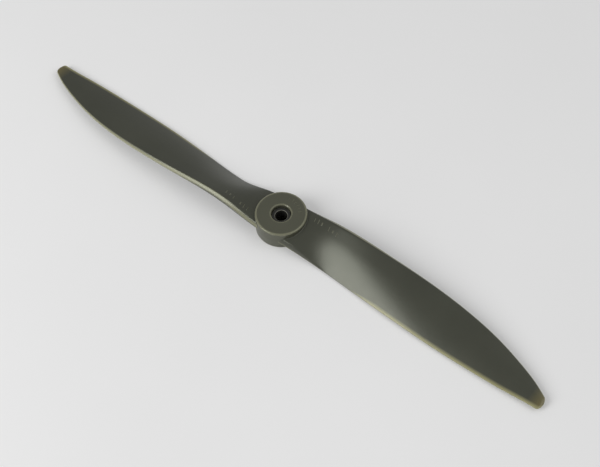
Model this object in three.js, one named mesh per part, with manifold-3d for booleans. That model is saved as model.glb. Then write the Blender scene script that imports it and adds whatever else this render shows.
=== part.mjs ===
// Two-blade propeller for a model aircraft, with a push-in adapter ring in its hub.
// Millimetres. Z is the shaft axis and points to the front, the blades lie along X,
// and the origin is at the centre of the hub's rear face.
// Seen from the front the propeller turns counter-clockwise: the +X blade moves toward +Y.

import * as THREE from 'three';
import { mergeVertices } from 'three/addons/utils/BufferGeometryUtils.js';
import Module from 'manifold-3d';

const wasm = await Module();
wasm.setup();

// ---- driving dimensions -----------------------------------------------------

const TIP_RADIUS = 127;

const HUB = { radius: 10.5, height: 9.1, draft: 0.15, partingHeight: 4.4, rim: 0.6 };
const SHAFT_HOLE_RADIUS = 3.2;
const RECESS = { radius: 4, floor: 3, chamfer: 0.25 };

const RING = { wall: 1.35, height: 4.3, chamfer: 0.25, sideGap: 0.15, floorGap: 0.1 };

// The blade by stations along X: where the leading and the trailing edge run, in Y and Z,
// and how thick the section is.
const STATIONS = [
  { x: 0, lead: [9.6, 4.9], trail: [-9.4, 4.4], thickness: 3.8 },
  { x: 10, lead: [10.1, 6.6], trail: [-7.9, 3.4], thickness: 3.8 },
  { x: 20, lead: [10.4, 9], trail: [-6.6, 1.4], thickness: 3.5 },
  { x: 30, lead: [10.9, 9.8], trail: [-6.2, 0.7], thickness: 3 },
  { x: 45, lead: [11.9, 8.9], trail: [-6.4, 0.9], thickness: 2.5 },
  { x: 65, lead: [12.9, 7.3], trail: [-6.5, 1.2], thickness: 2.2 },
  { x: 85, lead: [12.6, 5.5], trail: [-5.9, 1], thickness: 1.8 },
  { x: 100, lead: [10.8, 4.3], trail: [-5, 1.2], thickness: 1.5 },
  { x: 112, lead: [8, 3.4], trail: [-4, 1.4], thickness: 1.25 },
  { x: 121, lead: [5, 2.9], trail: [-3, 1.7], thickness: 1 },
  { x: 127, lead: [2.2, 2.4], trail: [-2.6, 1.9], thickness: 0.9 },
];

// Height of the section's mean line as a share of the chord, growing between two X.
const CAMBER = { root: 0.016, outer: 0.035, from: 20, to: 65 };
const THICKEST = 0.3;            // chord fraction from which an airfoil section tapers
const TRAIL_THICKNESS = 0.6;     // trailing edge, from mid-blade outward
const ROOT_TRAIL_THICKNESS = 1.2;
const ROOT_END = 30;             // inside this X the section becomes an even slab
const TIP_ROUND = 1.4;           // length over which the tip's corners are rounded
const TIP_TURN = 0.45 * Math.PI; // how much of a quarter circle that rounding takes

// An edge's bevel: its steepness, how much it bows, and how tightly it rounds into the flat side.
const BEVEL = { slope: 2.1, bow: 0.85, rounding: 6 };

// How finely each shape is divided.
const HUB_SEGMENTS = 48;
const BORE_SEGMENTS = 32;
const CHORD_STEPS = 11;
const ROOT_STEPS = 8;
const OUTER_STEPS = 16;
const TIP_STEPS = 4;

// ---- materials --------------------------------------------------------------

const nylon = new THREE.MeshStandardMaterial({ color: 0x36372f, roughness: 0.42, metalness: 0 });
const ringPlastic = new THREE.MeshStandardMaterial({ color: 0x292926, roughness: 0.5, metalness: 0 });

// ---- helpers ----------------------------------------------------------------

function toSolid(geometry) {
  const bare = geometry.index ? geometry.clone() : mergeVertices(geometry);
  bare.deleteAttribute('normal');
  bare.deleteAttribute('uv');
  const welded = mergeVertices(bare, 1e-5);
  const vertProperties = new Float32Array(welded.attributes.position.array);
  const triVerts = new Uint32Array(welded.index.array);
  return new wasm.Manifold(new wasm.Mesh({ numProp: 3, vertProperties, triVerts }));
}

function toGeometry(solid) {
  const mesh = solid.getMesh();
  const geometry = new THREE.BufferGeometry();
  geometry.setAttribute('position', new THREE.BufferAttribute(mesh.vertProperties, 3));
  geometry.setIndex(new THREE.BufferAttribute(mesh.triVerts, 1));
  geometry.computeVertexNormals();
  return geometry;
}

// A closed profile of [radius, height] pairs turned about the Z axis.
function turned(profile, segments) {
  const points = profile.map(([radius, height]) => new THREE.Vector2(radius, height));
  return new THREE.LatheGeometry(points, segments).rotateX(Math.PI / 2);
}

// A smooth curve through the stations' values of one quantity, as a function of X.
function along(valueOf) {
  const xs = STATIONS.map((station) => station.x);
  const curve = new THREE.CubicInterpolant(xs, STATIONS.map(valueOf), 1, new Float64Array(1));
  return (x) => curve.evaluate(x)[0];
}

// ---- blade ------------------------------------------------------------------

const leadY = along((station) => station.lead[0]);
const leadZ = along((station) => station.lead[1]);
const trailY = along((station) => station.trail[0]);
const trailZ = along((station) => station.trail[1]);
const thicknessAt = along((station) => station.thickness);

// 1 at the hub, falling to 0 where the section has become an airfoil.
function rootShare(x) {
  return 1 - THREE.MathUtils.smoothstep(x, HUB.radius, ROOT_END);
}

// Height of an edge's bevel at a share of the section's half thickness from the edge, as a
// share of that half thickness: steep and nearly straight, then rounded into the flat side.
function bevel(share) {
  const straight = BEVEL.slope * share ** BEVEL.bow;
  return straight / (1 + straight ** BEVEL.rounding) ** (1 / BEVEL.rounding);
}

// Half thickness at the chord fraction s. The leading edge is bevelled all along. Behind it the
// root is an even slab with a bevelled trailing edge too, and outside it an airfoil's tail.
function halfThickness(x, s) {
  const root = rootShare(x);
  const thickness = thicknessAt(x);
  const chord = Math.hypot(leadY(x) - trailY(x), leadZ(x) - trailZ(x));
  const nose = bevel((2 * s * chord) / thickness);
  const slab = bevel((2 * (1 - s) * chord) / thickness);
  const airfoil = 2.969 * Math.sqrt(s) - 1.26 * s - 3.516 * s ** 2 + 2.843 * s ** 3 - 1.036 * s ** 4;
  const tail = THREE.MathUtils.lerp(s < THICKEST ? 1 : airfoil, slab, root);
  const trailing = THREE.MathUtils.lerp(TRAIL_THICKNESS, ROOT_TRAIL_THICKNESS, root);
  return 0.5 * thickness * nose * tail + 0.5 * trailing * s ** 2;
}

// One closed loop of points around the blade at x, from the leading edge over the front face.
// The width share narrows and thins the section, for the tip.
function sectionAt(x, widthShare) {
  const lead = new THREE.Vector2(leadY(x), leadZ(x));
  const trail = new THREE.Vector2(trailY(x), trailZ(x));
  const middle = lead.clone().add(trail).multiplyScalar(0.5);
  lead.lerpVectors(middle, lead, widthShare);
  trail.lerpVectors(middle, trail, widthShare);
  const chord = lead.distanceTo(trail);
  const back = trail.clone().sub(lead).divideScalar(chord);
  const front = new THREE.Vector2(back.y, -back.x);
  const grown = THREE.MathUtils.smoothstep(x, CAMBER.from, CAMBER.to);
  const camber = THREE.MathUtils.lerp(CAMBER.root, CAMBER.outer, grown);
  const point = (s, side) => {
    const mean = 4 * camber * chord * s * (1 - s);
    const offset = mean + side * widthShare * halfThickness(x, s);
    const place = lead.clone().addScaledVector(back, s * chord).addScaledVector(front, offset);
    return new THREE.Vector3(x, place.x, place.y);
  };
  const fractions = [];
  for (let step = 1; step <= CHORD_STEPS; step += 1) {
    fractions.push((1 - Math.cos((Math.PI * step) / CHORD_STEPS)) / 2);
  }
  const over = fractions.map((s) => point(s, 1));
  const under = fractions.map((s) => point(s, -1));
  return [point(0, 1), ...over, ...under.reverse()];
}

// The tip's corners follow a quarter circle, which stops just short of a point.
function bladeLoops() {
  const loops = [];
  for (let step = 0; step < ROOT_STEPS; step += 1) {
    loops.push(sectionAt((ROOT_END * step) / ROOT_STEPS, 1));
  }
  const tipStart = TIP_RADIUS - TIP_ROUND;
  for (let step = 0; step <= OUTER_STEPS; step += 1) {
    loops.push(sectionAt(ROOT_END + ((tipStart - ROOT_END) * step) / OUTER_STEPS, 1));
  }
  for (let step = 1; step <= TIP_STEPS; step += 1) {
    const turn = (TIP_TURN * step) / TIP_STEPS;
    loops.push(sectionAt(tipStart + TIP_ROUND * Math.sin(turn), Math.cos(turn)));
  }
  return loops;
}

// The loops joined by quads, with both ends closed across the section.
function loft(loops) {
  const count = loops[0].length;
  const last = (loops.length - 1) * count;
  const under = (step) => (count - step) % count;
  const triangles = [];
  for (let row = 0; row < last; row += count) {
    for (let column = 0; column < count; column += 1) {
      const a = row + column;
      const b = row + ((column + 1) % count);
      triangles.push(a, b + count, a + count, a, b, b + count);
    }
  }
  for (let step = 0; step < CHORD_STEPS; step += 1) {
    const next = step + 1;
    triangles.push(step, under(next), next);
    triangles.push(last + step, last + next, last + under(next));
    if (step > 0) {
      triangles.push(step, under(step), under(next));
      triangles.push(last + step, last + under(next), last + under(step));
    }
  }
  const geometry = new THREE.BufferGeometry();
  const positions = loops.flat().flatMap((point) => point.toArray());
  geometry.setAttribute('position', new THREE.Float32BufferAttribute(positions, 3));
  geometry.setIndex(triangles);
  return geometry;
}

function bladeSolid() {
  return toSolid(loft(bladeLoops()));
}

// ---- hub --------------------------------------------------------------------

// The wall leans in by the draft from its parting line to both faces.
function hubSolid() {
  const face = HUB.radius - HUB.rim;
  const profile = [
    [0, 0],
    [face, 0],
    [HUB.radius, HUB.rim],
    [HUB.radius + HUB.draft, HUB.partingHeight],
    [HUB.radius, HUB.height - HUB.rim],
    [face, HUB.height],
    [0, HUB.height],
  ];
  return toSolid(turned(profile, HUB_SEGMENTS));
}

// The space for the shaft and for the adapter ring, running past both faces.
function boreSolid() {
  const past = 1;
  const mouth = RECESS.radius + RECESS.chamfer;
  const profile = [
    [0, -past],
    [SHAFT_HOLE_RADIUS, -past],
    [SHAFT_HOLE_RADIUS, RECESS.floor],
    [RECESS.radius, RECESS.floor],
    [RECESS.radius, HUB.height - RECESS.chamfer],
    [mouth, HUB.height],
    [mouth, HUB.height + past],
    [0, HUB.height + past],
  ];
  return toSolid(turned(profile, BORE_SEGMENTS));
}

// Hub and blades are one moulding. The second blade is the first turned half a turn.
function propeller() {
  const blade = bladeSolid();
  const halfTurn = toSolid(toGeometry(blade).rotateZ(Math.PI));
  const body = hubSolid().add(blade).add(halfTurn).subtract(boreSolid());
  const mesh = new THREE.Mesh(toGeometry(body), nylon);
  mesh.name = 'propeller';
  return mesh;
}

// ---- adapter ring -----------------------------------------------------------

// A plain bush that narrows the hub's hole to the motor's shaft. It stands on the ledge at
// the bottom of the recess, and its top lies below the hub's front face.
function adapterRing() {
  const outer = RECESS.radius - RING.sideGap;
  const inner = outer - RING.wall;
  const { height, chamfer } = RING;
  const profile = [
    [inner, chamfer],
    [inner + chamfer, 0],
    [outer - chamfer, 0],
    [outer, chamfer],
    [outer, height - chamfer],
    [outer - chamfer, height],
    [inner + chamfer, height],
    [inner, height - chamfer],
    [inner, chamfer],
  ];
  const mesh = new THREE.Mesh(turned(profile, BORE_SEGMENTS), ringPlastic);
  mesh.name = 'adapter_ring';
  mesh.position.z = RECESS.floor + RING.floorGap;
  return mesh;
}

// ---- the part ---------------------------------------------------------------

const group = new THREE.Group();
group.add(propeller(), adapterRing());

export default group;
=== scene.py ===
"""Two-blade propeller of a model aircraft, lying on its hub, with its adapter ring in place.

The hub and both blades are one fine moulded mesh. Lengths are written in millimetres and
turned into metres as each mesh is made.
"""
import math

import bpy
import bmesh
import numpy as np
from mathutils import Matrix, Vector


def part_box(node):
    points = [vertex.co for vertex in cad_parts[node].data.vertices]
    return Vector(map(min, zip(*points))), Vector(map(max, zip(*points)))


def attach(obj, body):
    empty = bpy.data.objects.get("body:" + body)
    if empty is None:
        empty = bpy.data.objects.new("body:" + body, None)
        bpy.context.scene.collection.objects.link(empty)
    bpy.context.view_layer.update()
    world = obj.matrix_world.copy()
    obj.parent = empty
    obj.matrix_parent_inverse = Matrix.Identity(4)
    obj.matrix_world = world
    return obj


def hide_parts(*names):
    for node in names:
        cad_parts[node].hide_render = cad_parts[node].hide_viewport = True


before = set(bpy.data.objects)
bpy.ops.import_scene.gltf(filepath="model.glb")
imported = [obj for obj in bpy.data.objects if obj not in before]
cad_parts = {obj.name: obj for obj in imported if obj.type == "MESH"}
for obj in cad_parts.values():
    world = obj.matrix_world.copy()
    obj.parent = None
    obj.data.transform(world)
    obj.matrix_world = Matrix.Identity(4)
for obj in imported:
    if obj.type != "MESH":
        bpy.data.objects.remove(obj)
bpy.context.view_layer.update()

MM = 0.001
WELD_DISTANCE = 1e-6          # in metres

# ---- driving dimensions, in millimetres --------------------------------------

TIP_RADIUS = 127.0
HUB_RADIUS = 10.5
HUB_HEIGHT = 9.1
HUB_DRAFT = 0.15
HUB_PARTING = 4.4
HUB_RIM = 0.6
SHAFT_HOLE_RADIUS = 3.2
RECESS_RADIUS = 4.0
RECESS_FLOOR = 3.0
RECESS_CHAMFER = 0.25
RECESS_CORNER = 0.15          # this and the next three are the hole's small edges
LEDGE_EDGE = 0.1
REAR_CHAMFER = 0.3
MOUTH_BLEND = 0.12
FLAT_BESIDE_RIM = 0.3
RIM_STEPS = 6

# The blade by stations along X: x, leading edge (y, z), trailing edge (y, z), thickness.
STATIONS = np.array([
    (0, 9.6, 4.9, -9.4, 4.4, 3.4),
    (10, 10.1, 6.6, -7.9, 3.5, 3.4),
    (20, 10.4, 9.0, -6.6, 1.5, 3.2),
    (30, 10.9, 9.8, -6.2, 0.7, 2.8),
    (45, 11.9, 8.9, -6.4, 0.9, 2.45),
    (65, 12.9, 7.3, -6.5, 1.2, 2.2),
    (85, 12.6, 5.5, -5.9, 1.0, 1.8),
    (100, 10.8, 4.3, -5.0, 1.2, 1.5),
    (112, 8.0, 3.4, -4.0, 1.4, 1.25),
    (121, 5.0, 2.9, -3.0, 1.7, 1.0),
    (127, 2.2, 2.4, -2.6, 1.9, 0.9),
])
CAMBER = 0.035
ROOT_CAMBER = 0.016
CAMBER_FROM, CAMBER_TO = 20.0, 65.0
THICKEST = 0.3                # chord fraction from which an airfoil section tapers
TRAIL_THICKNESS = 0.6
ROOT_TRAIL_THICKNESS = 1.2
TRAIL_BULGE = 0.6             # how far the trailing face stands out, in half thicknesses
BEVEL_SLOPE, BEVEL_BOW, BEVEL_ROUNDING = 2.1, 0.85, 6
ROOT_END = 30.0
TIP_ROUND = 1.4
FILLET = 0.4                  # radius where the blade meets the hub's wall

# How finely the moulding is divided.
CHORD_STEPS = 59
NOSE_STEPS = 6                # chord steps on each side of the leading edge that face sideways
TAIL_STEPS = 5                # the same at the trailing edge, which has a face of its own
HALF_TURN_STEPS = CHORD_STEPS - NOSE_STEPS - TAIL_STEPS
WALL_LAYERS = 7
FILLET_STEPS = 6
TIP_STEPS = 9
SPAN_STEP = 1.3               # longest step between the blade's loops
SPAN_STEP_GROWTH = 1.2
WALL_LAYER_GROWTH = 1.4
FLAT_FROM = 26.0              # from here outward the blade's loops are flat
SETTLING_ROUNDS = 60          # a round loop's x, y and z depend on each other
SHARP_ANGLE = 35.0            # edges that turn more than this, in degrees, stay sharp
FAR_FROM_EDGE = 20.0          # what the hub says for its distance from the blades' thin edges
THICK_ROOT_TRAIL = 2.0        # what the root adds to its distance from the trailing edge
THIN_TRAIL_FROM = 1.8 * ROOT_END     # from here outward it adds nothing

# Wear and painted highlight: the paler colour along the leading edge, the hub's rims and the
# hole's mouth is partly wear and partly a painted highlight. How far it reaches from its middle,
# which lies on the leading edge in the outer blade and a little in front of it near the hub, and
# how much of it the hub has.
WEAR_AND_HIGHLIGHT_IN_FRONT = 0.5
WEAR_AND_HIGHLIGHT_BEHIND = 1.8
WEAR_AND_HIGHLIGHT_MIDDLE_NEAR_HUB = 0.3
WEAR_AND_HIGHLIGHT_BEHIND_NEAR_HUB = 0.75
WEAR_AND_HIGHLIGHT_LESS_NEAR_HUB = 0.33
WEAR_AND_HIGHLIGHT_CHANGES_FROM, WEAR_AND_HIGHLIGHT_CHANGES_TO = 28.0, 62.0
HUB_WEAR = 0.1
RIM_WEAR_AND_HIGHLIGHT = 0.44
MOUTH_WEAR_AND_HIGHLIGHT = 0.38

# Raised marks: plain bars, in place of lettering.
MARK_HEIGHT = 0.13
MARK_SINK = 0.12
MARK_WEAR = 0.2
MARK_SLANT = 0.25
MARK_SHOULDER = 0.35          # how wide a bar's rounded shoulder is, as a share of the bar
MARK_POINTS = (11, 7)         # along and across a bar
BLADE_MARKS = [               # x, distance behind the leading edge, length, width
    (12.2, 3.4, 1.9, 0.5),
    (14.0, 3.3, 2.3, 0.5),
    (15.8, 3.4, 1.5, 0.8),
    (19.6, 3.7, 2.2, 0.5),
    (21.6, 4.0, 1.4, 0.8),
    (23.6, 4.2, 2.2, 0.5),
]
FACE_MARK_RADIUS = 7.6
FACE_MARK_LENGTH = 1.7
FACE_MARK_WIDTH = 0.5
FACE_MARK_AZIMUTHS = (104, 92, 80, 68, 56, 44)

# The adapter ring's section. Its place and height are the frame's.
RING_WALL = 1.35
RING_EDGE = 0.25
RING_SEGMENTS = 96
RING_EDGE_STEPS = 4

FLOOR_HALF_SIZE = 6.0         # in metres


# ---- helpers -----------------------------------------------------------------

def smoothstep(low, high, value):
    share = np.clip((value - low) / (high - low), 0.0, 1.0)
    return share * share * (3.0 - 2.0 * share)


def smooth_curve(xs, ys):
    """A cubic curve with continuous curvature through the points, as a function of x."""
    count = len(xs)
    gaps = np.diff(xs)
    slopes = np.diff(ys) / gaps
    matrix = np.eye(count)
    right = np.zeros(count)
    for i in range(1, count - 1):
        matrix[i, i - 1:i + 2] = gaps[i - 1], 2 * (gaps[i - 1] + gaps[i]), gaps[i]
        right[i] = 6 * (slopes[i] - slopes[i - 1])
    bend = np.linalg.solve(matrix, right)

    def value(x):
        i = np.clip(np.searchsorted(xs, x) - 1, 0, count - 2)
        back = (xs[i + 1] - x) / gaps[i]
        ahead = 1 - back
        curve = (back ** 3 - back) * bend[i] + (ahead ** 3 - ahead) * bend[i + 1]
        return back * ys[i] + ahead * ys[i + 1] + curve * gaps[i] ** 2 / 6

    return value


def new_object(name, mesh):
    obj = bpy.data.objects.new(name, mesh)
    bpy.context.scene.collection.objects.link(obj)
    return obj


def add_values(mesh, name, values):
    """Store one number for each vertex, for the material to read."""
    attribute = mesh.attributes.new(name, "FLOAT", "POINT")
    attribute.data.foreach_set("value", np.asarray(values, dtype=np.float32))


def weld(mesh):
    """Join the points that lie on each other, turn all faces outward and shade them smooth,
    apart from sharp edges."""
    work = bmesh.new()
    work.from_mesh(mesh)
    bmesh.ops.remove_doubles(work, verts=work.verts, dist=WELD_DISTANCE)
    bmesh.ops.recalc_face_normals(work, faces=work.faces)
    work.to_mesh(mesh)
    work.free()
    mesh.shade_smooth()
    mesh.set_sharp_from_angle(angle=math.radians(SHARP_ANGLE))


# ---- blade -------------------------------------------------------------------

lead_y, lead_z, trail_y, trail_z, thickness_at = (
    smooth_curve(STATIONS[:, 0], STATIONS[:, column]) for column in range(1, 6))


def root_share(x):
    """1 at the hub, falling to 0 where the section has become an airfoil."""
    return 1 - smoothstep(HUB_RADIUS, ROOT_END, x)


def bevel(share):
    """Height of an edge's bevel at a share of the section's half thickness from the edge, as a
    share of that half thickness: steep and nearly straight, then rounded into the flat side."""
    straight = BEVEL_SLOPE * share ** BEVEL_BOW
    return straight / (1 + straight ** BEVEL_ROUNDING) ** (1 / BEVEL_ROUNDING)


def half_thickness(x, s):
    """Half thickness at the chord fraction s. The leading edge is bevelled all along.
    Behind it the root is an even slab with a bevelled trailing edge too, and outside it an
    airfoil's tail."""
    root = root_share(x)
    thickness = thickness_at(x)
    chord = np.hypot(lead_y(x) - trail_y(x), lead_z(x) - trail_z(x))
    nose = bevel(2 * s * chord / thickness)
    slab = bevel(2 * (1 - s) * chord / thickness)
    # The four-digit airfoils' thickness, as a share of the thickest point's.
    airfoil = 2.969 * np.sqrt(s) - 1.26 * s - 3.516 * s ** 2 + 2.843 * s ** 3 - 1.036 * s ** 4
    tail = np.where(s < THICKEST, 1.0, airfoil)
    tail = tail + (slab - tail) * root
    trailing = TRAIL_THICKNESS + (ROOT_TRAIL_THICKNESS - TRAIL_THICKNESS) * root
    return 0.5 * thickness * nose * tail + 0.5 * trailing * s ** 2


def tip_share(x):
    """How much of the chord is left at x, where the tip's corners are rounded."""
    past = np.clip((x - (TIP_RADIUS - TIP_ROUND)) / TIP_ROUND, 0.0, 1.0)
    return np.sqrt(1 - past ** 2)


def section_points():
    """Chord fraction and side of each point around a section, from the leading edge over the
    front. Side is 1 in front, -1 behind and 0 in the middle of the trailing edge's own face."""
    over = (1 - np.cos(np.pi * np.arange(1, CHORD_STEPS + 1) / CHORD_STEPS)) / 2
    s = np.concatenate([[0.0], over, [1.0], over[::-1]])
    side = np.concatenate([[1.0], np.ones(CHORD_STEPS), [0.0], -np.ones(CHORD_STEPS)])
    return s, side


def blade_point(x, s, side):
    """Y and Z of the blade's surface at x."""
    share = tip_share(x)
    half_y = (trail_y(x) - lead_y(x)) / 2 * share
    half_z = (trail_z(x) - lead_z(x)) / 2 * share
    half_chord = np.hypot(half_y, half_z)
    along_y = half_y / half_chord
    along_z = half_z / half_chord
    camber = ROOT_CAMBER + (CAMBER - ROOT_CAMBER) * smoothstep(CAMBER_FROM, CAMBER_TO, x)
    bow = 8 * camber * half_chord * s * (1 - s)
    half = share * half_thickness(x, s)
    out = bow + side * half
    past = (2 * s - 1) * half_chord + TRAIL_BULGE * half * (side == 0)
    y = (lead_y(x) + trail_y(x)) / 2 + past * along_y + out * along_z
    z = (lead_z(x) + trail_z(x)) / 2 + past * along_z - out * along_y
    return y, z


def wall_radius(z):
    """The hub's wall leans in by the draft from its parting line to both faces."""
    return HUB_RADIUS + HUB_DRAFT * (1 - np.abs(z / HUB_PARTING - 1))


def span_distances():
    """How far each of the blade's loops lies from the hub's wall."""
    turn = np.linspace(0, math.pi / 2, FILLET_STEPS + 1)
    distances = list(FILLET * (1 - np.cos(turn)))
    step = FILLET / 3
    tip_start = TIP_RADIUS - TIP_ROUND - HUB_RADIUS
    while distances[-1] < tip_start - SPAN_STEP:
        distances.append(distances[-1] + step)
        step = min(step * SPAN_STEP_GROWTH, SPAN_STEP)
    turn = np.linspace(0, 0.49 * math.pi, TIP_STEPS)
    return np.array(distances + list(tip_start + TIP_ROUND * np.sin(turn)))


def blade_loops():
    """Points of the blade in loops: the first lies on the hub's wall, the last at the tip.
    Near the hub the loops are round like its wall, farther out they are flat."""
    s, side = section_points()
    distance = span_distances()[:, None]
    flat = smoothstep(0.0, FLAT_FROM - HUB_RADIUS, distance)
    x = np.broadcast_to(HUB_RADIUS + distance, (len(distance), len(s)))
    for _ in range(SETTLING_ROUNDS):
        y, z = blade_point(x, s, side)
        radius = distance + HUB_RADIUS + (wall_radius(z) - HUB_RADIUS) * (1 - flat)
        x = np.sqrt(np.maximum(radius ** 2 - (1 - flat) * y ** 2, 1.0))
    y, z = blade_point(x, s, side)
    near = np.clip(1 - distance / FILLET, 0.0, 1.0)
    swell = FILLET * (1 - np.sqrt(1 - near ** 2)) * np.minimum(1, 6 * s * (1 - s))
    return np.stack([x, y, z + side * swell], axis=2)


def blade_wear_and_highlight(loops):
    """How pale each point is painted, from 1 at most in the middle of the leading edge's band to 0
    away from it, and how far it lies from the thin trailing edge and from the tip. The band is
    partly wear and partly a painted highlight. In the outer blade it reaches farther behind than in
    front."""
    s, side = section_points()
    x = loops[:, :, 0]
    chord = np.hypot(trail_y(x) - lead_y(x), trail_z(x) - lead_z(x)) * tip_share(x)
    outer = smoothstep(WEAR_AND_HIGHLIGHT_CHANGES_FROM, WEAR_AND_HIGHLIGHT_CHANGES_TO, x)
    in_front = side * s * chord - WEAR_AND_HIGHLIGHT_MIDDLE_NEAR_HUB * (1 - outer)
    behind = WEAR_AND_HIGHLIGHT_BEHIND_NEAR_HUB + (WEAR_AND_HIGHLIGHT_BEHIND - WEAR_AND_HIGHLIGHT_BEHIND_NEAR_HUB) * outer
    away = np.where(in_front > 0, in_front / WEAR_AND_HIGHLIGHT_IN_FRONT, -in_front / behind)
    wear_and_highlight = (1 - smoothstep(0.0, 1.0, away)) * (1 - WEAR_AND_HIGHLIGHT_LESS_NEAR_HUB * (1 - outer))
    thick_root = THICK_ROOT_TRAIL * (1 - smoothstep(ROOT_END, THIN_TRAIL_FROM, x))
    return wear_and_highlight, (1 - s) * chord + thick_root, TIP_RADIUS - x


# ---- hub ---------------------------------------------------------------------

def arc(centre, radius, start, end, steps):
    """Points of a circular arc as (radius, height) pairs, with angles in degrees."""
    angles = np.radians(np.linspace(start, end, steps + 1))
    return [(centre[0] + radius * math.cos(a), centre[1] + radius * math.sin(a)) for a in angles]


def hub_profile():
    """The hub's turned outline inside its wall, from the front rim through the hole to the
    rear rim: (radius, height) pairs in runs that are equally pale. The rims and the hole's mouth
    are paler, partly wear and partly a painted highlight."""
    top = HUB_HEIGHT - HUB_RIM
    face = float(wall_radius(top)) - HUB_RIM
    mouth = RECESS_RADIUS + RECESS_CHAMFER
    chamfer_end = HUB_HEIGHT - RECESS_CHAMFER
    blend = MOUTH_BLEND
    rear = float(wall_radius(HUB_RIM)) - HUB_RIM
    return [
        (RIM_WEAR_AND_HIGHLIGHT, arc((face, top), HUB_RIM, 0, 90, RIM_STEPS)),
        (HUB_WEAR, [(face - FLAT_BESIDE_RIM, HUB_HEIGHT)]
         + [(radius, HUB_HEIGHT) for radius in np.linspace(8.6, mouth + 0.5, 6)]),
        (MOUTH_WEAR_AND_HIGHLIGHT, arc((mouth + blend, HUB_HEIGHT - blend), blend, 90, 135, 2)
         + arc((RECESS_RADIUS + blend, chamfer_end - blend), blend, 135, 180, 2)),
        (HUB_WEAR, [(RECESS_RADIUS, height) for height in (8.3, 7.4, 6.0, 4.5)]
         + [(RECESS_RADIUS, RECESS_FLOOR + RECESS_CORNER)]
         + [(RECESS_RADIUS - RECESS_CORNER, RECESS_FLOOR)]
         + [(SHAFT_HOLE_RADIUS + LEDGE_EDGE, RECESS_FLOOR)]
         + [(SHAFT_HOLE_RADIUS, RECESS_FLOOR - LEDGE_EDGE), (SHAFT_HOLE_RADIUS, 1.5)]
         + [(SHAFT_HOLE_RADIUS, REAR_CHAMFER), (SHAFT_HOLE_RADIUS + REAR_CHAMFER, 0.0)]
         + [(radius, 0.0) for radius in np.linspace(4.5, rear - FLAT_BESIDE_RIM, 6)]),
        (RIM_WEAR_AND_HIGHLIGHT, arc((rear, HUB_RIM), HUB_RIM, 270, 360, RIM_STEPS)),
    ]


def wall_layers(root):
    """The hub's wall around one blade's root loop: rows of points from that loop out to the
    border of this half of the wall. The border has as many points as the loop."""
    across = np.linspace(90, -90, HALF_TURN_STEPS + 1)
    up = np.linspace(HUB_RIM, HUB_HEIGHT - HUB_RIM, 2 * NOSE_STEPS + 1)
    top = [(angle, up[-1]) for angle in across]
    left = [(across[-1], height) for height in up[::-1]]
    bottom = [(angle, up[0]) for angle in across[::-1]]
    right = [(across[0], height) for height in up]
    border = np.array(top[:-1] + left[:-1] + bottom[:-1] + right[:-1])
    border = np.roll(border, NOSE_STEPS, axis=0)
    inner = np.stack([np.degrees(np.arctan2(root[:, 1], root[:, 0])), root[:, 2]], axis=1)
    rows = []
    for layer in range(1, WALL_LAYERS + 1):
        share = (layer / WALL_LAYERS) ** WALL_LAYER_GROWTH
        angle, height = (inner + (border - inner) * share).T
        radius = wall_radius(height)
        x = radius * np.cos(np.radians(angle))
        y = radius * np.sin(np.radians(angle))
        rows.append(np.stack([x, y, height], axis=1))
    return rows


# ---- raised marks --------------------------------------------------------------

def on_blade(x, behind):
    """A small field on the blade's front, as a function of millimetres along the chord,
    across it and off the surface."""
    chord = float(np.hypot(lead_y(x) - trail_y(x), lead_z(x) - trail_z(x)))

    def surface(along, across):
        here = x + across + MARK_SLANT * along
        y, z = blade_point(here, (behind + along) / chord, np.ones_like(here))
        return np.stack([here, y, z], axis=2)

    def field(along, across, lift):
        step = 0.01
        by_chord = surface(along + step, across) - surface(along - step, across)
        by_span = surface(along, across + step) - surface(along, across - step)
        normal = np.cross(by_chord, by_span)
        normal *= np.sign(normal[:, :, 2:]) / np.linalg.norm(normal, axis=2, keepdims=True)
        return surface(along, across) + normal * lift[:, :, None]

    return field


def on_face(radius, azimuth):
    """The same for the hub's front face, along a radius."""
    def field(along, across, lift):
        r = radius + along
        a = np.radians(azimuth) + across / radius
        return np.stack([r * np.cos(a), r * np.sin(a), HUB_HEIGHT + lift], axis=2)

    return field


def bar_grids(field, length, width):
    """Front and back of a low bar with rounded shoulders and ends, sunk a little into the
    surface, as two grids of points that share their border."""
    along, across = np.meshgrid(*(np.linspace(-1, 1, count) for count in MARK_POINTS),
                                indexing="ij")
    inside = np.minimum(length * (1 - np.abs(along)), width * (1 - np.abs(across))) / 2
    rise = np.sqrt(np.clip(inside / (MARK_SHOULDER * width), 0, 1))
    narrow = 1 - 0.5 * along ** 6
    place = (along * length / 2, across * narrow * width / 2)
    front = field(*place, (MARK_HEIGHT + MARK_SINK) * rise - MARK_SINK)
    back = field(*place, -0.5 * MARK_SINK * rise - MARK_SINK)
    return front, back


# ---- the moulding --------------------------------------------------------------

def strip_faces(rows):
    """Quads between neighbouring closed rows of vertex numbers."""
    faces = []
    for low, high in zip(rows[:-1], rows[1:]):
        for i in range(len(low)):
            j = (i + 1) % len(low)
            faces.append((low[i], low[j], high[j], high[i]))
    return faces


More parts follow.
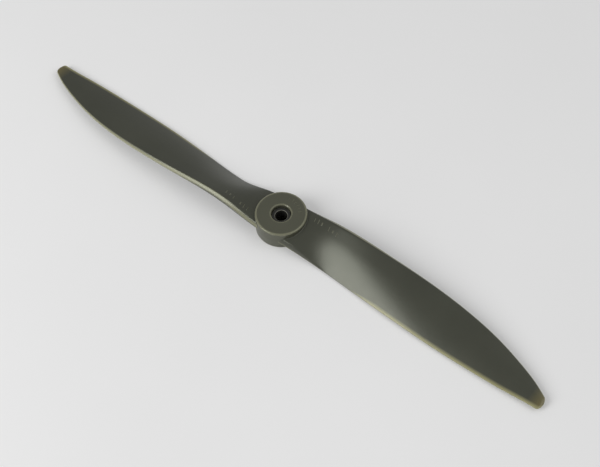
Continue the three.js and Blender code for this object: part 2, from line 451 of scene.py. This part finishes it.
def propeller_mesh():
    points, wear_and_highlight, from_trail, from_tip, faces = [], [], [], [], []

    def add_row(row, row_wear_and_highlight=HUB_WEAR, trail=FAR_FROM_EDGE, tip=FAR_FROM_EDGE):
        start = len(points)
        points.extend(row * MM)
        wear_and_highlight.extend(np.broadcast_to(row_wear_and_highlight, len(row)))
        from_trail.extend(np.broadcast_to(trail, len(row)))
        from_tip.extend(np.broadcast_to(tip, len(row)))
        return list(range(start, len(points)))

    loops = blade_loops()
    wear_highlight_and_distances = blade_wear_and_highlight(loops)
    layers = wall_layers(loops[0])
    for half_turn in (1, -1):
        turn = np.array([half_turn, half_turn, 1])
        rows = [add_row(row * turn) for row in reversed(layers)]
        rows += [add_row(loop * turn, *values) for loop, *values in zip(loops, *wear_highlight_and_distances)]
        faces += strip_faces(rows)
        last = rows[-1]
        count = len(last)
        middle = count // 2
        faces.append((last[0], last[1], last[-1]))
        for i in range(1, middle - 1):
            faces.append((last[i], last[i + 1], last[count - i - 1], last[count - i]))
        faces.append((last[middle - 1], last[middle], last[middle + 1]))

    angles = np.radians(np.linspace(90, -270, 2 * HALF_TURN_STEPS + 1)[:-1])
    rows = []
    for row_wear_and_highlight, run in hub_profile():
        for radius, height in run:
            ring = np.stack([radius * np.cos(angles), radius * np.sin(angles),
                             np.full(len(angles), height)], axis=1)
            rows.append(add_row(ring, row_wear_and_highlight))
    faces += strip_faces(rows)

    bars = [(on_face(FACE_MARK_RADIUS, azimuth), FACE_MARK_LENGTH, FACE_MARK_WIDTH, 1)
            for azimuth in FACE_MARK_AZIMUTHS]
    for x, behind, length, width in BLADE_MARKS:
        bars += [(on_blade(x, behind), length, width, half_turn) for half_turn in (1, -1)]
    for field, length, width, half_turn in bars:
        for grid in bar_grids(field, length, width):
            grid = grid * np.array([half_turn, half_turn, 1])
            rows = [add_row(row, MARK_WEAR) for row in grid]
            faces += [(low[i], low[i + 1], high[i + 1], high[i])
                      for low, high in zip(rows[:-1], rows[1:]) for i in range(len(low) - 1)]

    mesh = bpy.data.meshes.new("propeller_moulding")
    mesh.from_pydata([tuple(point) for point in points], [], faces)
    add_values(mesh, "wear_and_highlight", wear_and_highlight)
    add_values(mesh, "from_trail_mm", from_trail)
    add_values(mesh, "from_tip_mm", from_tip)
    weld(mesh)
    return mesh


# ---- adapter ring ------------------------------------------------------------

def ring_mesh():
    """A plain bush with rounded edges, where the frame's ring is."""
    lowest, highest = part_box("adapter_ring")
    low, high = lowest[2] / MM, highest[2] / MM
    outer = highest[0] / MM
    inner = outer - RING_WALL
    edge = RING_EDGE
    steps = RING_EDGE_STEPS
    profile = (
        arc((inner + edge, low + edge), edge, 180, 270, steps)
        + arc((outer - edge, low + edge), edge, 270, 360, steps)
        + [(outer, (low + high) / 2)]
        + arc((outer - edge, high - edge), edge, 0, 90, steps)
        + arc((inner + edge, high - edge), edge, 90, 180, steps)
        + [(inner, (low + high) / 2)]
    )
    angles = np.linspace(0, 2 * math.pi, RING_SEGMENTS + 1)[:-1]
    points = [(radius * math.cos(a) * MM, radius * math.sin(a) * MM, height * MM)
              for radius, height in profile for a in angles]
    # The rounded edges are painted paler: partly wear, partly a painted highlight.
    corner = np.sin(np.pi * np.arange(steps + 1) / steps)
    wear_and_highlight = np.concatenate([corner, corner, [0.0], corner, corner, [0.0]])
    rows = [list(range(i * RING_SEGMENTS, (i + 1) * RING_SEGMENTS)) for i in range(len(profile))]
    mesh = bpy.data.meshes.new("adapter_ring_bush")
    mesh.from_pydata(points, [], strip_faces(rows + rows[:1]))
    add_values(mesh, "wear_and_highlight", np.repeat(wear_and_highlight, RING_SEGMENTS))
    weld(mesh)
    return mesh


# ---- materials ---------------------------------------------------------------

def rgb(red, green, blue):
    """A colour given in display values from 0 to 255, as the linear colour a shader takes."""
    def linear(value):
        share = value / 255
        return share / 12.92 if share <= 0.04045 else ((share + 0.055) / 1.055) ** 2.4
    return (linear(red), linear(green), linear(blue), 1.0)


def new_material(name):
    material = bpy.data.materials.new(name)
    material.use_nodes = True
    nodes = material.node_tree.nodes
    return material, nodes, material.node_tree.links, nodes["Principled BSDF"]


def noise(nodes, links, scale, detail, seed):
    """Noise in the object's own space; scale is in features per metre."""
    place = nodes.new("ShaderNodeTexCoord")
    shift = nodes.new("ShaderNodeMapping")
    shift.inputs["Location"].default_value = (seed, 2 * seed, 3 * seed)
    grain = nodes.new("ShaderNodeTexNoise")
    grain.inputs["Scale"].default_value = scale
    grain.inputs["Detail"].default_value = detail
    links.new(place.outputs["Object"], shift.inputs["Vector"])
    links.new(shift.outputs["Vector"], grain.inputs["Vector"])
    return grain.outputs["Fac"]


def spread(nodes, links, value, low, high, from_low=0.3, from_high=0.7):
    """The value stretched from one range to another."""
    stretch = nodes.new("ShaderNodeMapRange")
    stretch.inputs["From Min"].default_value = from_low
    stretch.inputs["From Max"].default_value = from_high
    stretch.inputs["To Min"].default_value = low
    stretch.inputs["To Max"].default_value = high
    links.new(value, stretch.inputs["Value"])
    return stretch.outputs["Result"]


def mix(nodes, links, share, low, high):
    """Between two colours, each a fixed colour or another node's output."""
    blend = nodes.new("ShaderNodeMix")
    blend.data_type = "RGBA"
    links.new(share, blend.inputs["Factor"])
    for socket, colour in (("A", low), ("B", high)):
        target = next(i for i in blend.inputs if i.name == socket and i.type == "RGBA")
        if isinstance(colour, tuple):
            target.default_value = colour
        else:
            links.new(colour, target)
    return next(o for o in blend.outputs if o.type == "RGBA")


def bump(nodes, links, shader, layers):
    """Bump from several height values, each with its depth in metres."""
    normal = None
    for height, depth in layers:
        node = nodes.new("ShaderNodeBump")
        node.inputs["Distance"].default_value = depth
        node.inputs["Strength"].default_value = 1.0
        links.new(height, node.inputs["Height"])
        if normal is not None:
            links.new(normal, node.inputs["Normal"])
        normal = node.outputs["Normal"]
    links.new(normal, shader.inputs["Normal"])


def attribute(nodes, name):
    node = nodes.new("ShaderNodeAttribute")
    node.attribute_name = name
    return node.outputs["Fac"]


def nylon_material():
    """Glass-filled nylon: dark olive grey, yellower or browner where it is so thin that light
    gets through, and paler along the leading edge and the hub's rims, partly wear and partly a
    painted highlight."""
    material, nodes, links, shader = new_material("glass_filled_nylon")
    cloudy = spread(nodes, links, noise(nodes, links, 45, 4, 0.1), 0.0, 1.0)
    body = mix(nodes, links, cloudy, rgb(49, 50, 42), rgb(56, 57, 48))
    tip = spread(nodes, links, attribute(nodes, "from_tip_mm"), 0.45, 0.0, 0.0, 6.0)
    brown = mix(nodes, links, tip, body, rgb(140, 126, 70))
    trail = spread(nodes, links, attribute(nodes, "from_trail_mm"), 1.0, 0.0, 0.1, 1.4)
    yellow = mix(nodes, links, trail, brown, rgb(150, 146, 106))
    # Paler along the leading edge and the rims: partly wear, partly a painted highlight.
    rubbed_and_lit = mix(nodes, links, attribute(nodes, "wear_and_highlight"), yellow, rgb(154, 153, 126))
    links.new(rubbed_and_lit, shader.inputs["Base Color"])
    sheen = spread(nodes, links, noise(nodes, links, 350, 5, 0.7), 0.29, 0.33, 0.2, 0.8)
    links.new(sheen, shader.inputs["Roughness"])
    shader.inputs["IOR"].default_value = 1.65
    shader.inputs["Specular Tint"].default_value = (0.97, 1.0, 0.86, 1.0)
    fibres = noise(nodes, links, 3500, 3, 0.3)
    waves = noise(nodes, links, 90, 2, 0.5)
    bump(nodes, links, shader, [(waves, 0.00003), (fibres, 0.000005)])
    return material


def ring_material():
    """The adapter ring's plain grey plastic."""
    material, nodes, links, shader = new_material("ring_plastic")
    cloudy = spread(nodes, links, noise(nodes, links, 300, 3, 0.2), 0.0, 1.0)
    body = mix(nodes, links, cloudy, rgb(36, 36, 34), rgb(44, 44, 41))
    # Paler edges: partly wear, partly a painted highlight.
    rubbed_and_lit = mix(nodes, links, attribute(nodes, "wear_and_highlight"), body, rgb(120, 120, 108))
    links.new(rubbed_and_lit, shader.inputs["Base Color"])
    sheen = spread(nodes, links, noise(nodes, links, 900, 3, 0.4), 0.38, 0.55)
    links.new(sheen, shader.inputs["Roughness"])
    bump(nodes, links, shader, [(noise(nodes, links, 4000, 3, 0.9), 0.00001)])
    return material


def floor_material():
    """The pale matt surface that the propeller lies on. It glows a little, a painted light that
    lifts its shadows, but not under the hub, where it is painted dark: painted shade, seen through
    the shaft hole."""
    material, nodes, links, shader = new_material("pale_floor")
    place = nodes.new("ShaderNodeTexCoord")
    distance = nodes.new("ShaderNodeVectorMath")
    distance.operation = "LENGTH"
    links.new(place.outputs["Object"], distance.inputs[0])
    hub_edge = (0.9 * HUB_RADIUS * MM, HUB_RADIUS * MM)
    cloudy = spread(nodes, links, noise(nodes, links, 9, 3, 0.6), 0.0, 1.0)
    pale = mix(nodes, links, cloudy, rgb(226, 226, 226), rgb(229, 229, 229))
    # Painted shade: the floor under the hub is dark.
    outside_painted_shade = spread(nodes, links, distance.outputs["Value"], 0.0, 1.0, *hub_edge)
    links.new(mix(nodes, links, outside_painted_shade, rgb(40, 40, 40), pale), shader.inputs["Base Color"])
    # Painted light: the floor glows a little outside the hub.
    painted_glow = spread(nodes, links, distance.outputs["Value"], 0.0, 0.1, *hub_edge)
    links.new(painted_glow, shader.inputs["Emission Strength"])
    shader.inputs["Emission Color"].default_value = (1.0, 1.0, 1.0, 1.0)
    shader.inputs["Roughness"].default_value = 0.85
    shader.inputs["Specular IOR Level"].default_value = 0.2
    return material


# ---- pieces ------------------------------------------------------------------

def add_piece(mesh, material, name, body, node):
    piece = new_object(name, mesh)
    mesh.materials.append(material)
    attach(piece, body)
    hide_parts(node)
    return piece


def add_floor():
    mesh = bpy.data.meshes.new("floor")
    size = FLOOR_HALF_SIZE
    corners = [(-size, -size, 0), (size, -size, 0), (size, size, 0), (-size, size, 0)]
    mesh.from_pydata(corners, [], [(0, 1, 2, 3)])
    floor = new_object("floor", mesh)
    mesh.materials.append(floor_material())


# ---- camera and light --------------------------------------------------------

def direction(azimuth, elevation):
    """The way from the part to something seen at these angles, in degrees. Azimuth is
    counted from +X towards +Y."""
    a = math.radians(azimuth)
    e = math.radians(elevation)
    return Vector((math.cos(a) * math.cos(e), math.sin(a) * math.cos(e), math.sin(e)))


def add_camera():
    aim = Vector((0.0081, 0.0018, 0.0))
    distance = 0.562
    back = direction(azimuth=-48.1, elevation=56.9)
    right = (-back).cross(Vector((0, 0, 1))).normalized()
    up = right.cross(-back)
    roll = math.radians(-2.05)
    right, up = (right * math.cos(roll) + up * math.sin(roll),
                 up * math.cos(roll) - right * math.sin(roll))
    camera = bpy.data.objects.new("camera", bpy.data.cameras.new("camera"))
    bpy.context.scene.collection.objects.link(camera)
    camera.data.lens = 84.0
    camera.data.sensor_width = 36.0
    matrix = Matrix((right, up, back)).transposed().to_4x4()
    matrix.translation = aim + back * distance
    camera.matrix_world = matrix
    bpy.context.scene.camera = camera


def add_softbox(name, azimuth, elevation, distance, width, height, power):
    light = bpy.data.lights.new(name, "AREA")
    light.shape = "RECTANGLE"
    light.size = width
    light.size_y = height
    light.energy = power
    obj = bpy.data.objects.new(name, light)
    bpy.context.scene.collection.objects.link(obj)
    away = direction(azimuth, elevation)
    obj.location = away * distance
    obj.rotation_euler = away.to_track_quat("Z", "Y").to_euler()


def add_light():
    add_softbox("softbox_left", azimuth=-114, elevation=38.5, distance=1.0,
                width=0.52, height=0.64, power=5.0)
    add_softbox("softbox_right", azimuth=30, elevation=50, distance=1.4,
                width=1.2, height=1.2, power=4.5)
    world = bpy.data.worlds.new("studio")
    bpy.context.scene.world = world
    world.use_nodes = True
    background = world.node_tree.nodes["Background"]
    background.inputs["Color"].default_value = (1.0, 1.0, 1.0, 1.0)
    background.inputs["Strength"].default_value = 0.4
    bpy.context.scene.view_settings.view_transform = "Standard"


add_camera()
add_light()
add_floor()
add_piece(propeller_mesh(), nylon_material(), "propeller_moulding", "propeller",
          "propeller")
add_piece(ring_mesh(), ring_material(), "adapter_ring_bush", "adapter_ring",
          "adapter_ring")
